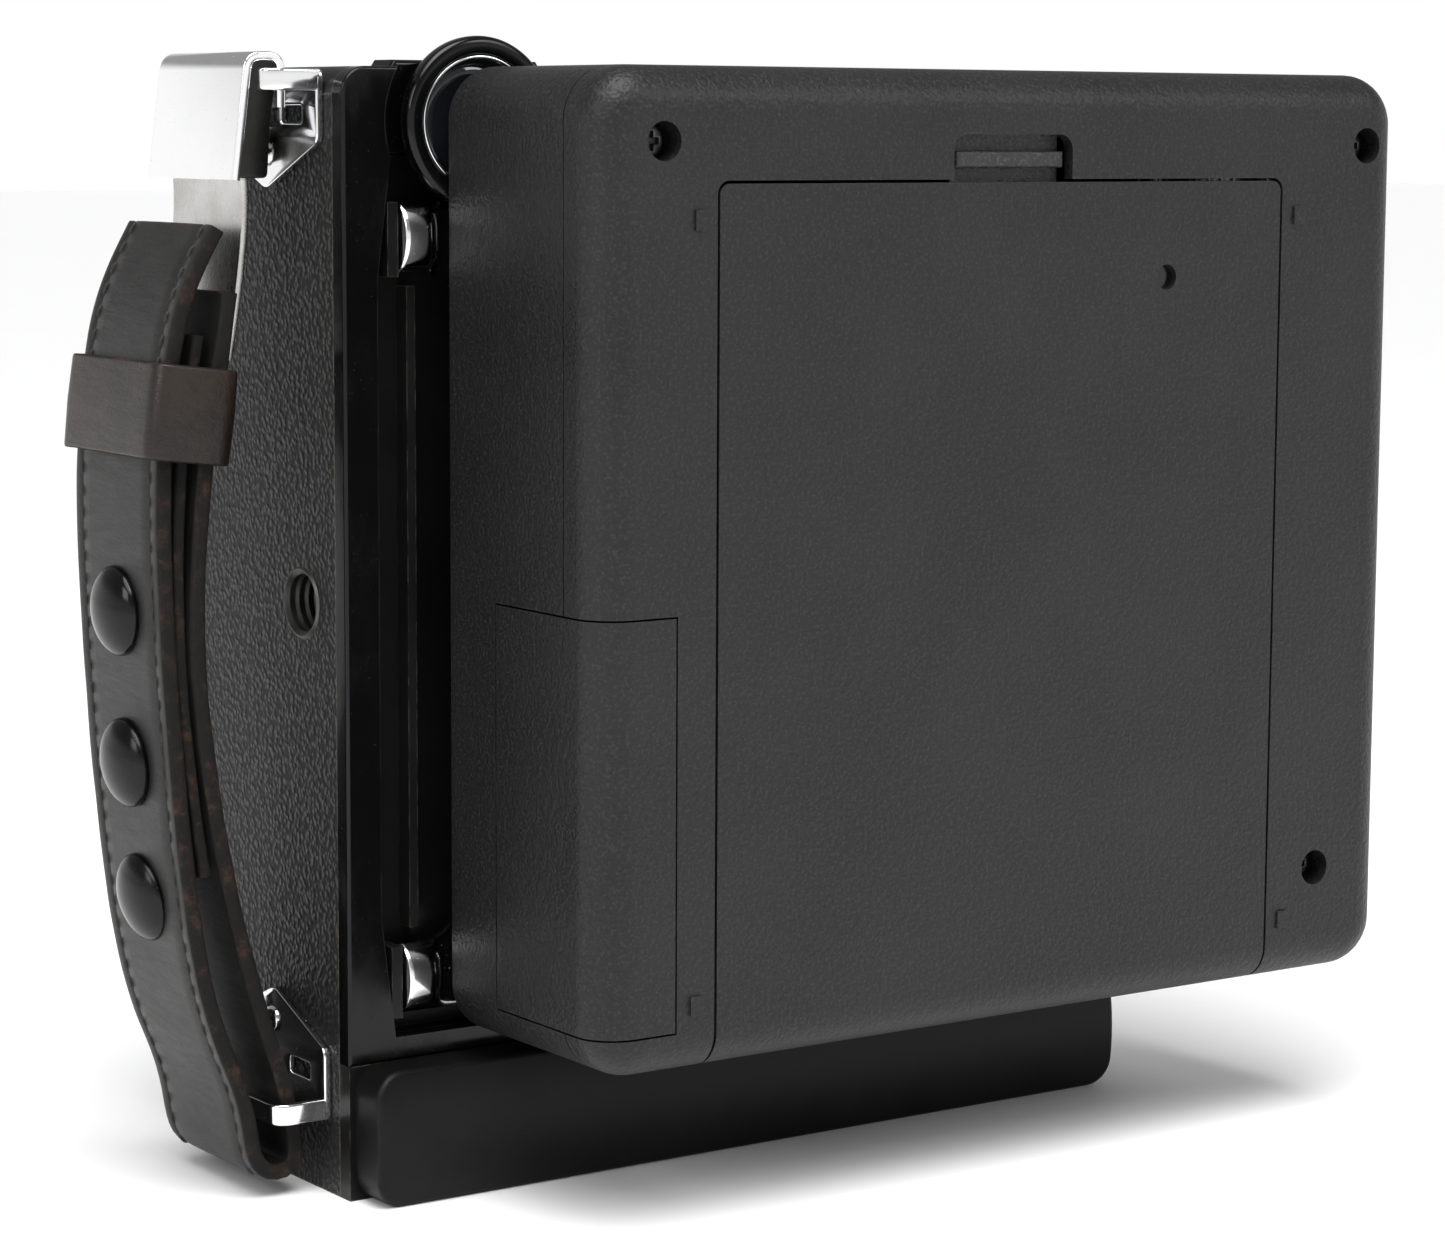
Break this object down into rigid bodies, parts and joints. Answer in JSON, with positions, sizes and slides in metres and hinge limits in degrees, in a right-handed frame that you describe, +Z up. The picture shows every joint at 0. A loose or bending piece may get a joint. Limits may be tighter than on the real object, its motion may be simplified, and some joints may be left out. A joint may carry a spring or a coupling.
{
  "type": "instant camera",
  "caption": "Folding press camera with a drop bed, an instant film back held by slide locks, an eyepiece and a leather hand strap.",
  "frame": {"origin": "middle of the camera body's base, on the surface it stands on", "axes": "+Z up; the lens faces -Y and the film back +Y; the hand strap is on the +X side"},
  "size_m": [0.1993, 0.0994, 0.1726],
  "materials": {
    "body_shell": "satin black enamel on cast light alloy",
    "rear_frame": "glossy black moulding",
    "base_housing": "satin black moulding",
    "side_leatherettes": "pebbled black leatherette",
    "front_plate": "satin black enamel on light alloy",
    "bed_door": "satin black enamel on light alloy",
    "bed_leatherette": "pebbled black leatherette",
    "bed_hinge_pin": "plain steel",
    "bed_braces": "chromed strip",
    "brace_pins": "plain steel",
    "front_standard": "satin black enamel on light alloy",
    "shutter_housing": "black anodised light alloy",
    "lens_barrel": "black anodised light alloy",
    "front_glass": "coated lens",
    "rear_glass": "coated lens",
    "aperture_ring": "knurled ring",
    "shutter_lever": "chromed",
    "bellows": "black pleated cloth",
    "eyepiece_boss": "glossy black moulding",
    "eyepiece_ring": "glossy black rubber",
    "eyepiece_bezel": "chromed",
    "eyepiece_lens": "clear lens",
    "finder_windows": "clear panes",
    "finder_mirrors": "silvered glass",
    "release_button": "chromed",
    "bed_catch": "chromed",
    "tripod_bushes": "blackened brass",
    "strap_lug_upper": "chromed steel",
    "strap_lug_lower": "chromed steel",
    "lug_screws": "chromed steel",
    "strap_hook": "chromed plate",
    "hand_strap": "black leather, worn brown at the edges",
    "strap_pad": "black leather",
    "strap_tongue": "polished steel strip",
    "strap_snaps": "black enamelled caps",
    "strap_keeper": "dark brown leather",
    "slide_lock_upper": "chromed steel",
    "slide_lock_lower": "chromed steel",
    "lock_guides": "dark grey enamel",
    "back_adapter": "matt black light alloy",
    "back_case_rear": "fine-grained dark grey",
    "back_case_front": "fine-grained dark grey",
    "case_screws": "blackened steel",
    "film_door": "fine-grained dark grey",
    "peep_window": "dark window",
    "door_hinge_pins": "plain steel",
    "pressure_pads": "black pads",
    "battery_door": "fine-grained dark grey",
    "batteries": "plain wrapped cells",
    "battery_contacts": "nickel plated",
    "door_latch": "grey slider",
    "film_pack": "black cartridge",
    "film_stack": "film sheets",
    "drive_roller": "ground steel",
    "pinch_roller": "ground steel",
    "motor_pinion": "brass",
    "roller_brackets": "plated steel",
    "drive_motor": "plated can",
    "eject_button": "black button",
    "circuit_board": "green laminate"
  },
  "bodies": {
    "camera_body": {"body_shell": "body_shell", "rear_frame": "rear_frame", "base_housing": "base_housing", "side_leatherettes": "side_leatherettes", "front_plate": "front_plate", "bed_hinge_pin": "bed_hinge_pin", "brace_pins": "brace_pins", "bellows": "bellows", "eyepiece_boss": "eyepiece_boss", "eyepiece_ring": "eyepiece_ring", "eyepiece_bezel": "eyepiece_bezel", "eyepiece_lens": "eyepiece_lens", "finder_windows": "finder_windows", "finder_mirrors": "finder_mirrors", "tripod_bushes": "tripod_bushes", "strap_lug_upper": "strap_lug_upper", "strap_lug_lower": "strap_lug_lower", "lug_screws": "lug_screws", "strap_hook": "strap_hook", "hand_strap": "hand_strap", "strap_pad": "strap_pad", "strap_tongue": "strap_tongue", "strap_snaps": "strap_snaps", "strap_keeper": "strap_keeper", "lock_guides": "lock_guides", "back_adapter": "back_adapter", "back_case_rear": "back_case_rear", "back_case_front": "back_case_front", "case_screws": "case_screws", "door_hinge_pins": "door_hinge_pins", "batteries": "batteries", "battery_contacts": "battery_contacts", "film_pack": "film_pack", "film_stack": "film_stack", "roller_brackets": "roller_brackets", "drive_motor": "drive_motor", "circuit_board": "circuit_board"},
    "film_door": {"film_door": "film_door", "peep_window": "peep_window", "pressure_pads": "pressure_pads"},
    "door_latch": {"door_latch": "door_latch"},
    "battery_door": {"battery_door": "battery_door"},
    "slide_lock_upper": {"slide_lock_upper": "slide_lock_upper"},
    "slide_lock_lower": {"slide_lock_lower": "slide_lock_lower"},
    "drive_roller": {"drive_roller": "drive_roller"},
    "pinch_roller": {"pinch_roller": "pinch_roller"},
    "motor_pinion": {"motor_pinion": "motor_pinion"},
    "eject_button": {"eject_button": "eject_button"},
    "release_button": {"release_button": "release_button"},
    "bed_catch": {"bed_catch": "bed_catch"},
    "bed": {"bed_door": "bed_door", "bed_leatherette": "bed_leatherette"},
    "bed_braces": {"bed_braces": "bed_braces"},
    "front_standard": {"front_standard": "front_standard", "shutter_housing": "shutter_housing", "lens_barrel": "lens_barrel", "front_glass": "front_glass", "rear_glass": "rear_glass"},
    "aperture_ring": {"aperture_ring": "aperture_ring"},
    "shutter_lever": {"shutter_lever": "shutter_lever"}
  },
  "joints": [
    {"name": "film_door_hinge", "type": "hinge", "parent": "camera_body", "child": "film_door", "pos_m": [-0.0179, 0.0625, 0.02545], "axis": [-1, 0, 0], "range_deg": [0, 95]},
    {"name": "door_latch_slide", "type": "slide", "parent": "camera_body", "child": "door_latch", "axis": [0, 0, 1], "range_m": [0, 0.0018], "stiffness_N_per_m": 300, "springref_m": -0.001},
    {"name": "battery_door_hinge", "type": "hinge", "parent": "camera_body", "child": "battery_door", "pos_m": [0.0552, 0.043, 0.0604], "axis": [0, 0, -1], "range_deg": [0, 95]},
    {"name": "upper_lock_slide", "type": "slide", "parent": "camera_body", "child": "slide_lock_upper", "axis": [-1, 0, 0], "range_m": [0, 0.0045]},
    {"name": "lower_lock_slide", "type": "slide", "parent": "camera_body", "child": "slide_lock_lower", "axis": [-1, 0, 0], "range_m": [0, 0.0045]},
    {"name": "drive_roller_spin", "type": "hinge", "parent": "camera_body", "child": "drive_roller", "pos_m": [-0.0737, 0.0513, 0.088], "axis": [0, 0, 1], "continuous": true},
    {"name": "pinch_roller_spin", "type": "hinge", "parent": "camera_body", "child": "pinch_roller", "pos_m": [-0.0737, 0.0597, 0.088], "axis": [0, 0, 1], "continuous": true},
    {"name": "motor_spin", "type": "hinge", "parent": "camera_body", "child": "motor_pinion", "pos_m": [-0.0737, 0.0381, 0.088], "axis": [0, 0, 1], "continuous": true},
    {"name": "eject_press", "type": "slide", "parent": "camera_body", "child": "eject_button", "axis": [1, 0, 0], "range_m": [0, 0.001], "stiffness_N_per_m": 500, "springref_m": -0.001},
    {"name": "release_press", "type": "slide", "parent": "camera_body", "child": "release_button", "axis": [0, 1, 0], "range_m": [0, 0.002], "stiffness_N_per_m": 500, "springref_m": -0.001},
    {"name": "bed_catch_press", "type": "slide", "parent": "camera_body", "child": "bed_catch", "axis": [0, 1, 0], "range_m": [0, 0.0014], "stiffness_N_per_m": 500, "springref_m": -0.001},
    {"name": "bed_hinge", "type": "hinge", "parent": "camera_body", "child": "bed", "pos_m": [-0.0179, -0.0261, 0.0256], "axis": [1, 0, 0], "range_deg": [0, 90]},
    {"name": "brace_swing", "type": "hinge", "parent": "camera_body", "child": "bed_braces", "pos_m": [-0.0179, -0.019, 0.0756], "axis": [1, 0, 0], "range_deg": [0, 142.5]},
    {"name": "standard_slide", "type": "slide", "parent": "camera_body", "child": "front_standard", "axis": [0, -1, 0], "range_m": [0, 0.05]},
    {"name": "aperture_turn", "type": "hinge", "parent": "front_standard", "child": "aperture_ring", "pos_m": [-0.0179, -0.0165, 0.088], "axis": [0, 1, 0], "range_deg": [0, 120]},
    {"name": "lever_turn", "type": "hinge", "parent": "front_standard", "child": "shutter_lever", "pos_m": [-0.0179, -0.0115, 0.088], "axis": [0, 1, 0], "range_deg": [0, 25], "stiffness_Nm_per_rad": 0.05, "springref_deg": -5.73}
  ],
  "couplings": [
    {"joint": "pinch_roller_spin", "follows": "drive_roller_spin", "ratio": -1},
    {"joint": "motor_spin", "follows": "drive_roller_spin", "ratio": -2.6667},
    {"joint": "brace_swing", "follows": "bed_hinge", "ratio": 1.583},
    {"joint": "standard_slide", "follows": "bed_hinge", "m_per_rad": 0.0318}
  ]
}
